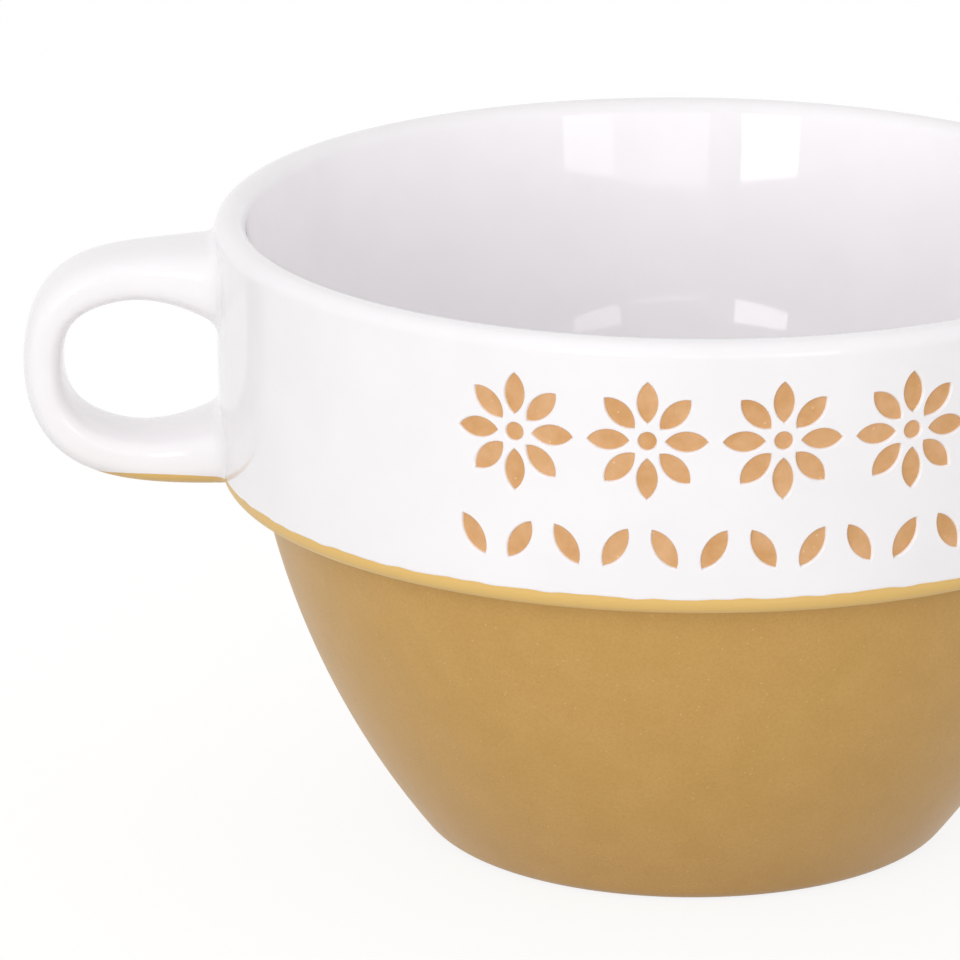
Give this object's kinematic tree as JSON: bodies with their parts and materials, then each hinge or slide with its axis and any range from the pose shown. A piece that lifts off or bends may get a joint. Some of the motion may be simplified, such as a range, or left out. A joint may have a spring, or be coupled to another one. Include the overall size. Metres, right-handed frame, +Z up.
{
  "type": "soup mug",
  "caption": "Stackable stoneware soup mug: glossy white inside, band and ear handle over a matt mustard bowl with a stacking ledge, and a leaf ornament left open in the band's glaze.",
  "frame": {"origin": "on the mug's axis, in the plane of the foot ring that it stands on", "axes": "+Z up along the mug's axis, -X along the handle, -Y towards the ornamented front"},
  "size_m": [0.1442, 0.12, 0.08],
  "materials": {
    "bare_clay": "unglazed fired stoneware",
    "joining_slip": "fired slip",
    "white_glaze": "glossy white glaze",
    "mustard_coat": "satin matt coloured coat"
  },
  "bodies": {
    "root": {"clay_body": "bare_clay", "handle": "bare_clay", "upper_slip_joint": "joining_slip", "lower_slip_joint": "joining_slip", "interior_glaze": "white_glaze", "band_glaze": "white_glaze", "handle_glaze": "white_glaze", "bowl_coat": "mustard_coat", "handle_coat": "mustard_coat"}
  },
  "joints": []
}
